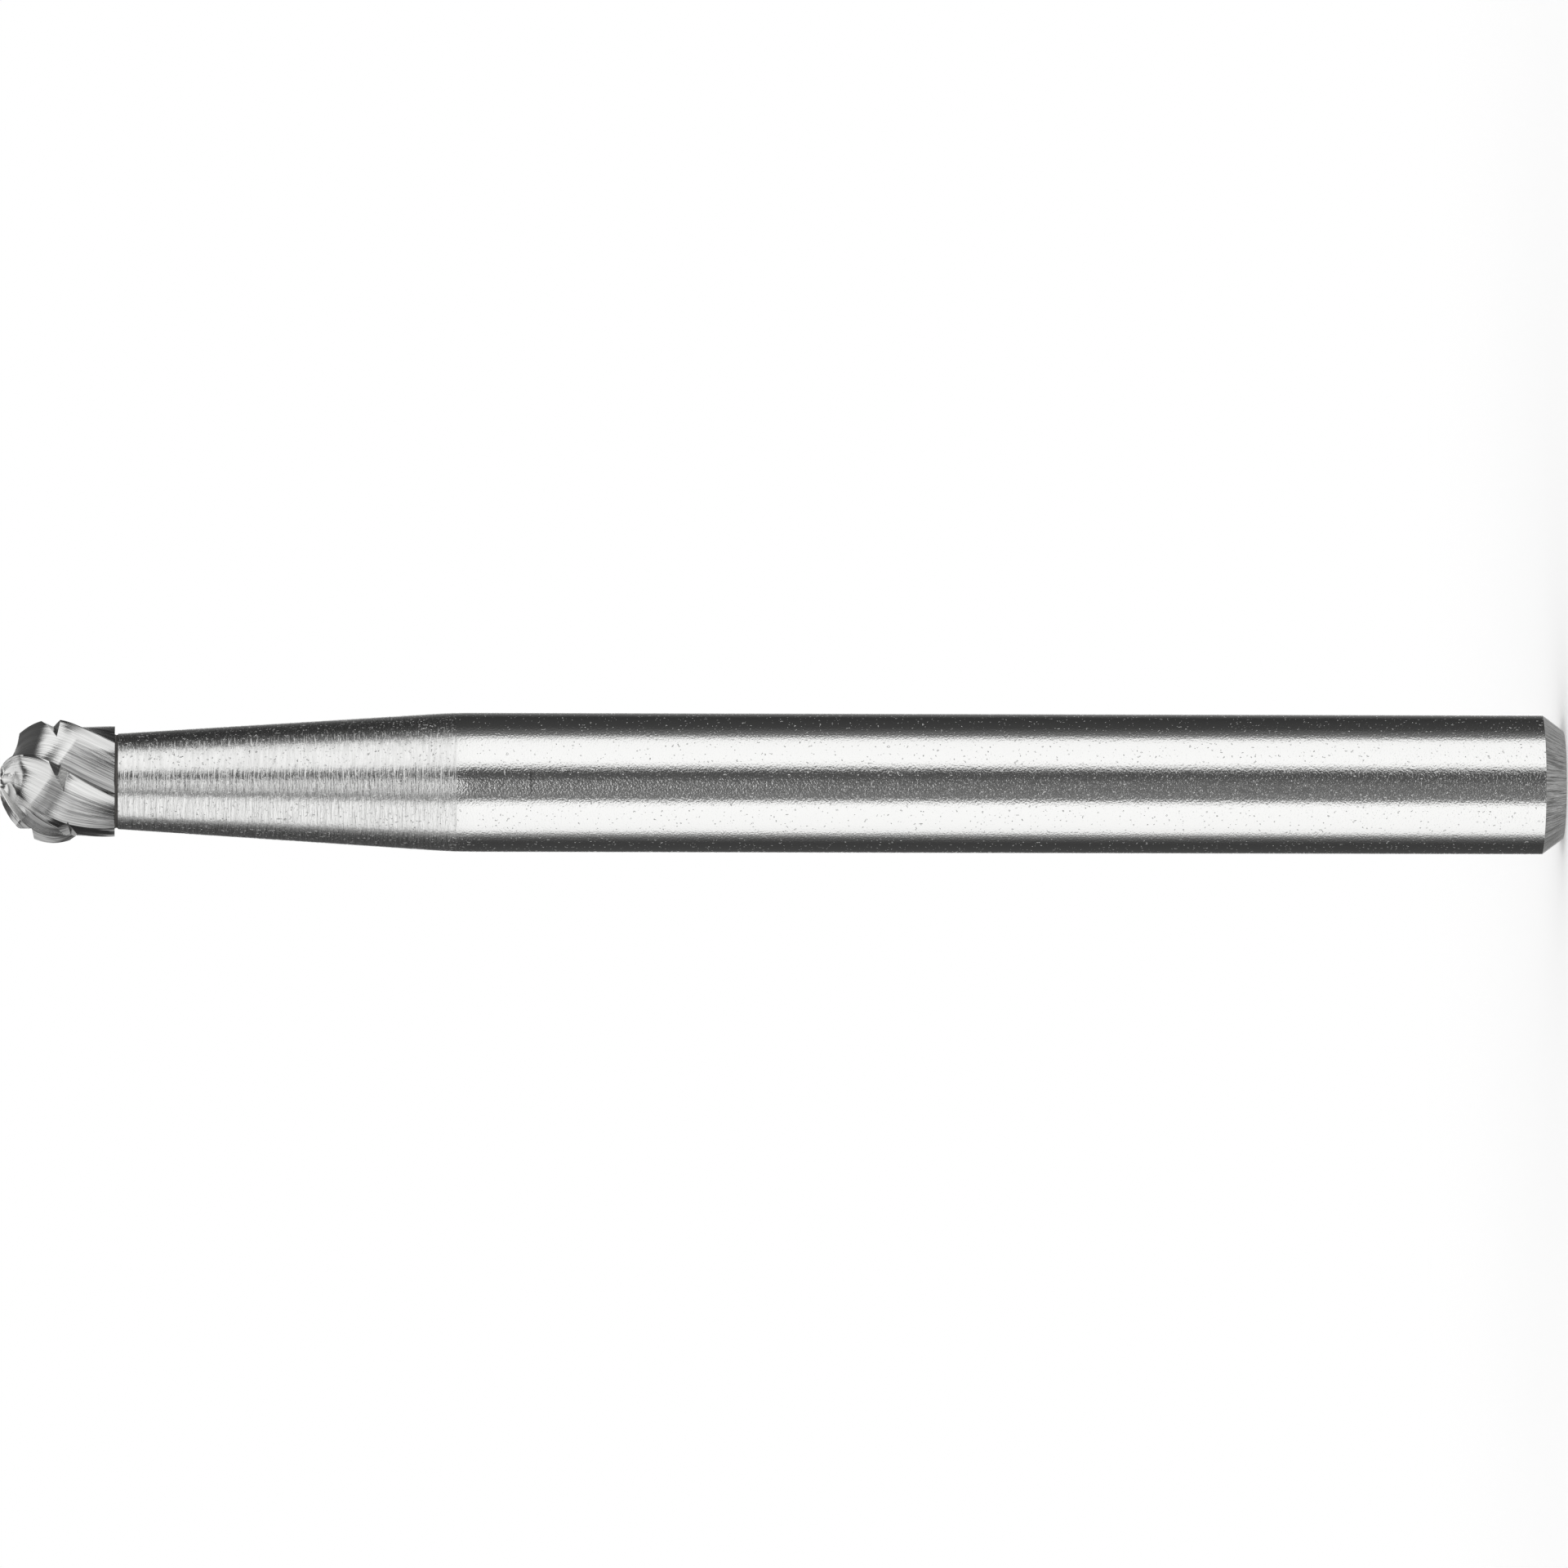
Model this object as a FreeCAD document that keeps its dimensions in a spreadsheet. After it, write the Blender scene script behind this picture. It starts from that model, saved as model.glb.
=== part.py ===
import FreeCAD, Part
import os
import Sketcher

# Rotary burr: a small ball-shaped carbide cutting head brazed to a turned steel shank.
# Millimetres and degrees. The tool's axis is Z. The end face of the shank is at z = 0
# and the tip of the head points to +Z.
SIZES = {
    "shank_diameter": 3.0,
    "shank_length": 23.75,
    "end_chamfer_length": 0.46,
    "end_chamfer_height": 0.34,
    "neck_length": 7.23,
    "neck_front_diameter": 2.06,
    "neck_blend_radius": 12.5,
    "braze_thickness": 0.07,
    "braze_recess": 0.02,
    "head_length": 2.45,
    "ball_diameter": 2.75,
    "back_taper": 9.75,
    "tip_flat_diameter": 0.7,
    "tooth_count": 6,
    "tooth_lead_length": 14.4,
    "first_tooth_angle": 13.5,
    "land_angle": 1.5,
    "relief_angle": 16.0,
    "relief_depth": 0.12,
    "flute_depth": 0.21,
    "rake_angle": 3.0,
    "rake_depth": 0.15,
    "tip_core_diameter": 0.3,
    "chip_lead_length": 1.0,
    "chip_height": 1.11,
    "chip_depth": 0.17,
    "chip_front_width": 0.27,
    "chip_rear_width": 0.15,
    "gash_depth": 0.4,
    "gash_arc_radius": 1.0,
    "gash_core_diameter": 0.54,
    "gash_width_angle": 84.0,
    "gash_middle_angle": 3.0,
}

# A flute's sections are evenly spaced along the head's outline: these many steps on the
# conical rear, these many round the ball to the last latitude, then one past the tip.
TAPER_STEPS = 4
BALL_STEPS = 7
LAST_LATITUDE_ANGLE = 65
# A flute is as deep square to the ball all the way up to this latitude, and then fades.
FULL_DEPTH_ANGLE = 48
# The chip breaker's sections, in degrees along its turn, from its run-in to its run-out.
CHIP_FIRST_ANGLE = -135
CHIP_LAST_ANGLE = 360
CHIP_STEP_ANGLE = 45

# How far the shape that is cut away reaches past the metal: as lengths at the two ends,
# and as shares of a line's length, or a ratio of the radius, outside the teeth.
REAR_CLEARANCE = 0.1
TIP_CLEARANCE = 0.06
OUTER_RATIO = 1.17
RELIEF_OVERRUN_SHARE = 0.25
RAKE_OVERRUN_SHARE = 0.8
CHIP_OVERRUN_SHARE = 0.5
# At its ends the chip breaker's bottom rises this share of its depth above the ball.
CHIP_RUNOUT_SHARE = 0.1
# The angle in a flute's sketch at which the lower of its two teeth stands.
LOWER_CREST_ANGLE = 12
# Where the middle one of an arc's three points lies on it: the ball's and the gash's.
BALL_ARC_ANGLE = 45
GASH_ARC_ANGLE = 60

os.makedirs("parts", exist_ok=True)
doc = FreeCAD.newDocument("carbide_burr")

sheet = doc.addObject("Spreadsheet::Sheet", "Sizes")
for row, (alias, value) in enumerate(SIZES.items(), start=1):
    sheet.set("A%d" % row, alias)
    sheet.set("B%d" % row, repr(value))
    sheet.setAlias("B%d" % row, alias)
doc.recompute()

# Lengths that follow from the driving sizes, as expressions on the sheet.
HEAD_REAR = "(Sizes.shank_length + Sizes.neck_length + Sizes.braze_thickness)"
TIP = f"({HEAD_REAR} + Sizes.head_length)"
BALL_RADIUS = "(Sizes.ball_diameter / 2)"
FLAT_RADIUS = "(Sizes.tip_flat_diameter / 2)"
BALL_CENTRE = f"({TIP} - sqrt({BALL_RADIUS} ^ 2 - {FLAT_RADIUS} ^ 2))"
TANGENT_RADIUS = f"({BALL_RADIUS} * cos(Sizes.back_taper))"
TANGENT_HEIGHT = f"({BALL_CENTRE} - {BALL_RADIUS} * sin(Sizes.back_taper))"
TOOTH_PITCH = "(360 / Sizes.tooth_count)"


def taper_radius(height):
    """Radius of the head's conical rear part at a height."""
    return f"({TANGENT_RADIUS} - ({TANGENT_HEIGHT} - {height}) * tan(Sizes.back_taper))"


def value_of(expression):
    """The number that an expression on the sheet gives now."""
    return float(sheet.evalExpression(str(expression)))


def point_of(pair):
    return FreeCAD.Vector(value_of(pair[0]), value_of(pair[1]), 0)


def polar(radius, angle):
    """A sketch point at a radius from the tool's axis, as two expressions."""
    return (f"({radius}) * cos({angle})", f"({radius}) * sin({angle})")


def beyond(start, through, share):
    """The point that carries a line from start on past through by a share of its length."""
    return tuple(f"(1 + {share}) * {b} - {share} * {a}" for a, b in zip(start, through))


def new_body(label):
    body = doc.addObject("PartDesign::Body", label)
    body.Label = label
    return body


def new_sketch(body, name, role="XZ_Plane", offset=None):
    sketch = body.newObject("Sketcher::SketchObject", name)
    plane = [feature for feature in body.Origin.OriginFeatures if feature.Role == role][0]
    sketch.AttachmentSupport = [(plane, "")]
    sketch.MapMode = "FlatFace"
    if offset:
        sketch.setExpression(".AttachmentOffset", offset)
    return sketch


def bind_point(sketch, geometry, end, name, pair):
    """Hold one end of a line or arc at a point that two expressions give."""
    for axis, expression in zip("XY", pair):
        label = f"{name}_{axis.lower()}"
        size = Sketcher.Constraint("Distance" + axis, -1, 1, geometry, end, value_of(expression))
        number = sketch.addConstraint(size)
        sketch.renameConstraint(number, label)
        sketch.setExpression("Constraints." + label, expression)


def draw_outline(sketch, corners, arc_from=None, arc_by=None):
    """Close an outline through named corners, with one arc that starts at arc_from.

    corners maps each name to a pair of expressions. The arc runs anticlockwise to the
    next corner by way of the point arc_by.
    """
    names = list(corners)
    count = len(names)
    for index, name in enumerate(names):
        start = point_of(corners[name])
        stop = point_of(corners[names[(index + 1) % count]])
        if name == arc_from:
            sketch.addGeometry(Part.Arc(start, point_of(arc_by), stop), False)
        else:
            sketch.addGeometry(Part.LineSegment(start, stop), False)
    for index in range(count):
        sketch.addConstraint(Sketcher.Constraint("Coincident", index, 2, (index + 1) % count, 1))
    for index, name in enumerate(names):
        bind_point(sketch, index, 1, name, corners[name])
    if arc_from:
        sketch.addGeometry(Part.Point(point_of(arc_by)), True)
        arc = names.index(arc_from)
        sketch.addConstraint(Sketcher.Constraint("PointOnObject", count, 1, arc))
        bind_point(sketch, count, 1, "arc_by", arc_by)


def revolve(body, name, sketch):
    turned = body.newObject("PartDesign::Revolution", name)
    turned.Profile = sketch
    turned.ReferenceAxis = (sketch, ["V_Axis"])
    turned.Angle = 360
    return turned


def cut_loft(body, name, sketches):
    """Remove the shape that runs smoothly through a row of sketches."""
    loft = body.newObject("PartDesign::SubtractiveLoft", name)
    loft.Profile = sketches[0]
    loft.Sections = sketches[1:]
    loft.Refine = False
    return loft


def make_steel_shank():
    """The shank: chamfered end, straight clamping length, and a neck that tapers to the head."""
    body = new_body("steel_shank")
    radius = "(Sizes.shank_diameter / 2)"
    front = "(Sizes.neck_front_diameter / 2)"
    slope = f"atan(({radius} - {front}) / Sizes.neck_length)"
    setback = f"Sizes.neck_blend_radius * tan({slope} / 2)"

    def on_blend(angle):
        inward = f"{radius} - Sizes.neck_blend_radius * (1 - cos({angle}))"
        along = f"Sizes.shank_length - {setback} + Sizes.neck_blend_radius * sin({angle})"
        return (inward, along)

    corners = {
        "axis_end": ("0", "0"),
        "end_face_rim": (f"{radius} - Sizes.end_chamfer_height", "0"),
        "chamfer_top": (radius, "Sizes.end_chamfer_length"),
        "blend_start": on_blend("0"),
        "blend_stop": on_blend(slope),
        "neck_front": (front, "Sizes.shank_length + Sizes.neck_length"),
        "axis_front": ("0", "Sizes.shank_length + Sizes.neck_length"),
    }
    sketch = new_sketch(body, "shank_profile")
    draw_outline(sketch, corners, "blend_start", on_blend(f"{slope} / 2"))
    revolve(body, "shank_turned", sketch)
    return body


def make_braze_joint():
    """The thin layer of brazing alloy between the neck's front face and the head."""
    disc = doc.addObject("Part::Cylinder", "braze_joint")
    disc.Label = "braze_joint"
    disc.setExpression("Radius", "Sizes.neck_front_diameter / 2 - Sizes.braze_recess")
    disc.setExpression("Height", "Sizes.braze_thickness")
    disc.setExpression(".Placement.Base.z", "Sizes.shank_length + Sizes.neck_length")
    return disc


def flute_section(body, name, height, radius, deeper):
    """One section of a flute, square to the axis, between two neighbouring teeth.

    From the upper tooth's land the outline runs down the relief, through the round flute
    and up the steep rake face to the lower tooth's crest, then closes outside the metal.
    Its depths are those of the sheet, times deeper.
    """
    upper = f"({LOWER_CREST_ANGLE} + {TOOTH_PITCH})"
    land_edge = polar(radius, f"{upper} - Sizes.land_angle")
    relief_radius = f"{radius} - Sizes.relief_depth * {deeper}"
    floor_radius = f"{radius} - Sizes.flute_depth * {deeper}"
    rake_radius = f"{radius} - Sizes.rake_depth * {deeper}"
    relief_foot = polar(relief_radius, f"{upper} - Sizes.relief_angle")
    rake_foot = polar(rake_radius, f"{LOWER_CREST_ANGLE} + Sizes.rake_angle")
    crest = polar(radius, LOWER_CREST_ANGLE)
    middle = f"{LOWER_CREST_ANGLE} + {TOOTH_PITCH} / 2"
    corners = {
        "relief_out": beyond(relief_foot, land_edge, RELIEF_OVERRUN_SHARE),
        "relief_foot": relief_foot,
        "rake_foot": rake_foot,
        "rake_out": beyond(rake_foot, crest, RAKE_OVERRUN_SHARE),
        "outer": polar(f"{radius} * {OUTER_RATIO} / cos({TOOTH_PITCH} / 2)", middle),
    }
    helix = f"360 * ({height} - {HEAD_REAR}) / Sizes.tooth_lead_length"
    turn = f"Sizes.first_tooth_angle - {LOWER_CREST_ANGLE} + {helix}"
    offset = f"placement(vector(0; 0; {height}); rotationz({turn}))"
    sketch = new_sketch(body, name, "XY_Plane", offset)
    draw_outline(sketch, corners, "relief_foot", polar(floor_radius, middle))
    return sketch


def flute_sections(body):
    rear = f"({HEAD_REAR} - {REAR_CLEARANCE})"
    front = f"({TIP} + {TIP_CLEARANCE})"
    stations = []
    for step in range(TAPER_STEPS):
        height = f"({rear} + ({TANGENT_HEIGHT} - {rear}) * {step} / {TAPER_STEPS})"
        stations.append((height, taper_radius(height), "1"))
    for step in range(BALL_STEPS + 1):
        span = f"({LAST_LATITUDE_ANGLE} + Sizes.back_taper)"
        latitude = f"({span} * {step} / {BALL_STEPS} - Sizes.back_taper)"
        height = f"({BALL_CENTRE} + {BALL_RADIUS} * sin({latitude}))"
        deeper = f"(1 / cos(min({latitude}; {FULL_DEPTH_ANGLE})))"
        stations.append((height, f"({BALL_RADIUS} * cos({latitude}))", deeper))
    deepest = f"(1 / cos({FULL_DEPTH_ANGLE}))"
    tip_radius = f"(Sizes.tip_core_diameter / 2 + Sizes.flute_depth * {deepest})"
    stations.append((front, tip_radius, deepest))
    sketches = []
    for index, station in enumerate(stations):
        sketches.append(flute_section(body, f"flute_section_{index}", *station))
    return sketches


def chip_section(body, name, turn, sunk):
    """A section of the chip breaker in a plane through the axis, an uneven V.

    turn is the angle along the groove in degrees; sunk is false where it runs in or out.
    """
    height = f"({HEAD_REAR} + Sizes.chip_height + Sizes.chip_lead_length * {turn} / 360)"
    rise = f"(({height} - {BALL_CENTRE}) / {BALL_RADIUS})"
    fall = f"sqrt(1 - {rise} ^ 2)"
    depth = "Sizes.chip_depth" if sunk else f"(-{CHIP_RUNOUT_SHARE} * Sizes.chip_depth)"

    def on_ball(out, along):
        """A point measured outwards from the ball and along it towards the tip."""
        across = f"({BALL_RADIUS} + {out}) * {fall} - ({along}) * {rise}"
        up = f"{BALL_CENTRE} + ({BALL_RADIUS} + {out}) * {rise} + ({along}) * {fall}"
        return (across, up)

    lift = f"{CHIP_OVERRUN_SHARE} * Sizes.chip_depth"
    reach = 1 + CHIP_OVERRUN_SHARE
    corners = {
        "bottom": on_ball(f"(-{depth})", "0"),
        "rear": on_ball(lift, f"-{reach} * Sizes.chip_rear_width"),
        "front": on_ball(lift, f"{reach} * Sizes.chip_front_width"),
    }
    offset = f"placement(vector(0; 0; 0); rotationz({turn} - 90) * rotationx(90))"
    sketch = new_sketch(body, name, "XY_Plane", offset)
    draw_outline(sketch, corners)
    return sketch


def chip_sections(body):
    sketches = []
    turns = range(CHIP_FIRST_ANGLE, CHIP_LAST_ANGLE + CHIP_STEP_ANGLE, CHIP_STEP_ANGLE)
    for index, turn in enumerate(turns):
        sunk = turn not in (CHIP_FIRST_ANGLE, CHIP_LAST_ANGLE)
        sketches.append(chip_section(body, f"chip_section_{index}", turn, sunk))
    return sketches


def cut_gash(body):
    """End every other tooth short of the tip, with a hollow cut that the next one stands over."""
    reach = "sqrt(Sizes.gash_arc_radius ^ 2 - (Sizes.gash_arc_radius - Sizes.gash_depth) ^ 2)"
    across = f"(Sizes.gash_core_diameter / 2 + {reach})"
    up = f"({TIP} - Sizes.gash_depth + Sizes.gash_arc_radius)"
    top = f"({TIP} + {TIP_CLEARANCE})"
    at_top = f"{across} - sqrt(Sizes.gash_arc_radius ^ 2 - ({up} - {top}) ^ 2)"
    corners = {
        "inner": (at_top, top),
        "outer": (across, f"{up} - Sizes.gash_arc_radius"),
        "outer_top": (across, top),
    }
    on_arc = (f"{across} - Sizes.gash_arc_radius * cos({GASH_ARC_ANGLE})",
              f"{up} - Sizes.gash_arc_radius * sin({GASH_ARC_ANGLE})")
    offset = "placement(vector(0; 0; 0); rotationz(Sizes.gash_middle_angle) * rotationx(90))"
    sketch = new_sketch(body, "gash_profile", "XY_Plane", offset)
    draw_outline(sketch, corners, "inner", on_arc)
    gash = body.newObject("PartDesign::Groove", "gash")
    gash.Profile = sketch
    gash.ReferenceAxis = (sketch, ["V_Axis"])
    gash.setExpression("Angle", "Sizes.gash_width_angle")
    gash.Midplane = True
    gash.Refine = False
    return gash


def repeat_round(body, name, cut, sketch, times):
    """Repeat a cut evenly round the tool's axis."""
    pattern = body.newObject("PartDesign::PolarPattern", name)
    pattern.Originals = [cut]
    pattern.Axis = (sketch, ["V_Axis"])
    pattern.Angle = 360
    pattern.setExpression("Occurrences", times)
    pattern.Refine = False
    body.Tip = pattern
    doc.recompute()
    return pattern


def make_carbide_head():
    """The cutting head: a blunt ball on a cone, with helical teeth, gashes and a chip breaker."""
    body = new_body("carbide_head")
    corners = {
        "axis_rear": ("0", HEAD_REAR),
        "rear_rim": (taper_radius(HEAD_REAR), HEAD_REAR),
        "tangent": (TANGENT_RADIUS, TANGENT_HEIGHT),
        "tip_rim": (FLAT_RADIUS, TIP),
        "tip": ("0", TIP),
    }
    on_ball = (f"{BALL_RADIUS} * cos({BALL_ARC_ANGLE})",
               f"{BALL_CENTRE} + {BALL_RADIUS} * sin({BALL_ARC_ANGLE})")
    sketch = new_sketch(body, "head_profile")
    draw_outline(sketch, corners, "tangent", on_ball)
    blank = revolve(body, "head_blank", sketch)
    doc.recompute()
    volumes = [("blank", blank.Shape.Volume)]

    flute = cut_loft(body, "flute", flute_sections(body))
    doc.recompute()
    volumes.append(("one flute", flute.Shape.Volume))

    teeth = repeat_round(body, "teeth", flute, sketch, "Sizes.tooth_count")
    volumes.append(("all flutes", teeth.Shape.Volume))

    gash = cut_gash(body)
    doc.recompute()
    volumes.append(("one gash", gash.Shape.Volume))
    gashes = repeat_round(body, "gashes", gash, sketch, "floor(Sizes.tooth_count / 2)")
    volumes.append(("all gashes", gashes.Shape.Volume))

    cut_loft(body, "chip_breaker", chip_sections(body))
    doc.recompute()
    volumes.append(("chip breaker", body.Shape.Volume))
    for (_, before), (step, after) in zip(volumes, volumes[1:]):
        if after >= before:
            raise ValueError(f"the {step} cut nothing")
    return body


def check_and_export(parts):
    doc.recompute()
    for item in doc.Objects:
        if "Invalid" in item.State or "Error" in item.State:
            raise ValueError(f"{item.Name} failed: {item.State}")
    for item in parts:
        if item.Shape.isNull() or not item.Shape.isValid():
            raise ValueError(f"{item.Label} has no valid shape")
    for item in parts:
        item.Shape.exportStep(f"parts/{item.Label}.step")
        box = item.Shape.optimalBoundingBox(True, False)
        print(f"{item.Label}: {len(item.Shape.Solids)} solid, volume {item.Shape.Volume:.4f},"
              f" z {box.ZMin:.3f} to {box.ZMax:.3f}, width {box.XLength:.3f}")


check_and_export([make_steel_shank(), make_braze_joint(), make_carbide_head()])
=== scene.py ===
import math

import bmesh
import bpy
from bpy.props import FloatProperty, FloatVectorProperty, IntProperty, PointerProperty
from mathutils import Matrix, Vector


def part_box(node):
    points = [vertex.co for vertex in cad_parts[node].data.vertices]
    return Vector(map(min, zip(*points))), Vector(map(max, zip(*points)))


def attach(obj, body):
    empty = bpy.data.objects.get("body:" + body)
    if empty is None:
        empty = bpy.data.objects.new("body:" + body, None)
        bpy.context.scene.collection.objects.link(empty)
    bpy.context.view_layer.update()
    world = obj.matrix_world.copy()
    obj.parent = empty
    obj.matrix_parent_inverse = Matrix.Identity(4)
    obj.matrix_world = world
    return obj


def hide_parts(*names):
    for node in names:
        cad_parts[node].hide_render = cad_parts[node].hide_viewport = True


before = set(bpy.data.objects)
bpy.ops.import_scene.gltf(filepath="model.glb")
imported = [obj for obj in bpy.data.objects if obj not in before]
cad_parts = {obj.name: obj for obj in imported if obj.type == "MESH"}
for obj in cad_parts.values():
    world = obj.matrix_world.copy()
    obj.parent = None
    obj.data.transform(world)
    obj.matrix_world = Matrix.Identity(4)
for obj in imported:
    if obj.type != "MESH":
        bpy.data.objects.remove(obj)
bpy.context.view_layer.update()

bl_info = {
    "name": "Carbide Burr",
    "version": (1, 0, 0),
    "blender": (4, 5, 0),
    "location": "View3D > Sidebar > Carbide Burr",
    "description": "Builds a small carbide burr with a steel shank, and a plain studio for it",
    "category": "Add Mesh",
}

MM = 0.001
SHANK_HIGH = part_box("steel_shank")[1]
BRAZE_LOW, BRAZE_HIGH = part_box("braze_joint")
HEAD_LOW, HEAD_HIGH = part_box("carbide_head")

# Turned pieces have this many sides. It divides by four, so each is as wide in X as in Y.
LATHE_SIDES = 192
SHARP_ANGLE = math.radians(24)
# The blend into the neck has this many steps. The grinding starts half way along it.
BLEND_STEPS = 12


def linear(hex_colour):
    """Turn a written sRGB colour such as #C8C8C6 into the linear one that the shaders take."""
    channels = []
    for start in (1, 3, 5):
        value = int(hex_colour[start:start + 2], 16) / 255
        channels.append(value / 12.92 if value <= 0.04045 else ((value + 0.055) / 1.055) ** 2.4)
    return (*channels, 1.0)


def length(name, description, default):
    """A length in metres that a user can change."""
    return FloatProperty(name=name, description=description, default=default,
                         unit="LENGTH", subtype="DISTANCE", precision=6)


def angle(name, description, degrees):
    """An angle that a user can change, from its default in degrees."""
    return FloatProperty(name=name, description=description, default=math.radians(degrees),
                         unit="ROTATION", subtype="ANGLE")


def colour(name, description, default):
    """A colour that a user can change, from its default as a written sRGB one."""
    return FloatVectorProperty(name=name, description=description, default=linear(default),
                               subtype="COLOR", size=4, min=0.0, max=1.0)


class BurrSizes(bpy.types.PropertyGroup):
    shank_radius: length("Shank Radius", "Radius of the straight shank", SHANK_HIGH.x)
    shank_length: length("Shank Length", "From the end face to the start of the neck", 23.75 * MM)
    neck_radius: length("Neck Radius", "Radius of the neck's front end", 1.03 * MM)
    neck_blend: length("Neck Blend", "Radius of the blend into the neck", 12.5 * MM)
    chamfer_length: length("Chamfer Length", "Length of the end chamfer", 0.46 * MM)
    chamfer_height: length("Chamfer Height", "How far the chamfer steps in", 0.34 * MM)
    ball_radius: length("Ball Radius", "Radius of the ball that the teeth stand on", 1.375 * MM)
    back_taper: angle("Back Taper", "Half angle of the cone behind the ball", 9.75)
    tip_flat: length("Tip Flat", "Radius of the blunt tip", 0.35 * MM)
    tooth_count: IntProperty(name="Teeth", description="Number of helical teeth", default=6, min=2)
    tooth_lead: length("Tooth Lead", "Height in which a tooth goes once round", 14.4 * MM)
    first_tooth: angle("First Tooth", "Where the first tooth starts at the head's rear", 13.5)
    land_angle: angle("Land", "Width of the land behind each cutting edge", 1.5)
    relief_angle: angle("Relief", "Where the relief ends, from its cutting edge", 16.0)
    relief_depth: length("Relief Depth", "How deep the relief ends", 0.12 * MM)
    flute_depth: length("Flute Depth", "Depth of the flute at the middle of its pitch", 0.21 * MM)
    rake_angle: angle("Rake", "Width of the steep rake face", 3.0)
    rake_depth: length("Rake Depth", "Height of the steep rake face", 0.15 * MM)
    tip_core: length("Tip Core", "Radius at the tip that the flutes leave", 0.15 * MM)
    chip_lead: length("Chip Breaker Lead", "Height in which the groove goes once round", 1.0 * MM)
    chip_height: length("Chip Breaker Height", "Height of the groove over the rear", 1.11 * MM)
    chip_depth: length("Chip Breaker Depth", "Depth of the groove below the ball", 0.17 * MM)
    chip_front: length("Chip Breaker Front", "Width of the flank towards the tip", 0.27 * MM)
    chip_rear: length("Chip Breaker Rear", "Width of the flank towards the shank", 0.15 * MM)
    gash_depth: length("Gash Depth", "How far below the tip every other tooth ends", 0.4 * MM)
    gash_arc: length("Gash Arc", "Radius of the gash's hollow", 1.0 * MM)
    gash_core: length("Gash Core", "Radius at the tip that the gashes leave", 0.27 * MM)
    gash_width: angle("Gash Width", "How far round the head a gash goes", 84.0)
    gash_middle: angle("Gash Middle", "The direction of the first gash", 3.0)


class BurrColours(bpy.types.PropertyGroup):
    steel: colour("Steel", "Polished and ground tool steel", "#CBCBCA")
    carbide: colour("Carbide", "Ground tungsten carbide", "#C9C9C8")
    # The braze's near-black colour is painted shade, standing in for the shadowed gap under the
    # head's step.
    braze: colour("Braze", "Oxidised brazing alloy", "#5E5C5A")
    floor: colour("Floor", "Floor of the studio", "#F4F4F4")


def add_node(tree, kind, inputs=(), **settings):
    """Add a node, set its settings, then its inputs: a value, or a socket that it links from."""
    node = tree.nodes.new(kind)
    for name, value in settings.items():
        setattr(node, name, value)
    pairs = inputs.items() if isinstance(inputs, dict) else enumerate(inputs)
    for key, value in pairs:
        if value is None:
            continue
        if isinstance(value, bpy.types.NodeSocket):
            tree.links.new(value, node.inputs[key])
        else:
            node.inputs[key].default_value = value
    return node


SIGNS = {"+": "ADD", "-": "SUBTRACT", "*": "MULTIPLY", "/": "DIVIDE"}


def work_out(tree, values, steps):
    """Add one node for each step: its result's name, its sign or function, and its operands.

    A RAMP goes from 0 to 1 while its first operand goes from its second to its third.
    """
    for name, sign, *operands in steps:
        sockets = [values.get(item, item) if isinstance(item, str) else item for item in operands]
        if sign == "RAMP":
            node = add_node(tree, "ShaderNodeMapRange", sockets)
        else:
            node = add_node(tree, "ShaderNodeMath", sockets, operation=SIGNS.get(sign, sign))
        values[name] = node.outputs[0]


def add_polar(tree, values, name, radius, turn):
    """Work out the x and y of a point from its radius and its turn round the axis."""
    work_out(tree, values, (
        (name + " cos", "COSINE", turn), (name + " sin", "SINE", turn),
        (name + " x", "*", radius, name + " cos"),
        (name + " y", "*", radius, name + " sin"),
    ))


def object_place(tree):
    """The place on the object, and its x, y and z as the first values to work with."""
    place = add_node(tree, "ShaderNodeTexCoord").outputs["Object"]
    parts = add_node(tree, "ShaderNodeSeparateXYZ", [place])
    return place, dict(zip("xyz", parts.outputs))


def add_object(name, data):
    """Put a new object into the scene."""
    item = bpy.data.objects.new(name, data)
    bpy.context.scene.collection.objects.link(item)
    return item


def new_material(name):
    """An empty material with its shader and output, which are returned with it."""
    material = bpy.data.materials.new(name)
    material.use_nodes = True
    tree = material.node_tree
    tree.nodes.clear()
    shader = add_node(tree, "ShaderNodeBsdfPrincipled")
    output = add_node(tree, "ShaderNodeOutputMaterial", {"Surface": shader.outputs[0]})
    return material, tree, shader, output


def set_metal(shader, colour, roughness):
    """A metal's constants, on the shader's own sockets. Its IOR stays the default."""
    shader.inputs["Base Color"].default_value = colour
    shader.inputs["Metallic"].default_value = 1.0
    shader.inputs["Roughness"].default_value = roughness


def finish_metal(tree, shader, relief, share=None, colours=()):
    """Give a metal its relief, as patterns with depths in mm, and the colours of its marks."""
    bump = None
    for height, depth in relief:
        bump = add_node(tree, "ShaderNodeBump", {"Height": height,
                                                 "Distance": depth * MM,
                                                 "Normal": bump and bump.outputs[0]})
    tree.links.new(bump.outputs[0], shader.inputs["Normal"])
    if share:
        mixed = add_node(tree, "ShaderNodeMix", {0: share, 6: colours[0], 7: colours[1]},
                         data_type="RGBA")
        tree.links.new(mixed.outputs[2], shader.inputs["Base Color"])


# The dark scratch: its height on the shank, how far it reaches up and down from there, and how far
# to each side it fades from and ends.
SCRATCH_HEIGHT, SCRATCH_REACH = 22.17 * MM, 0.045 * MM
SCRATCH_FADE, SCRATCH_END = 0.2 * MM, 0.35 * MM


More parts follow.
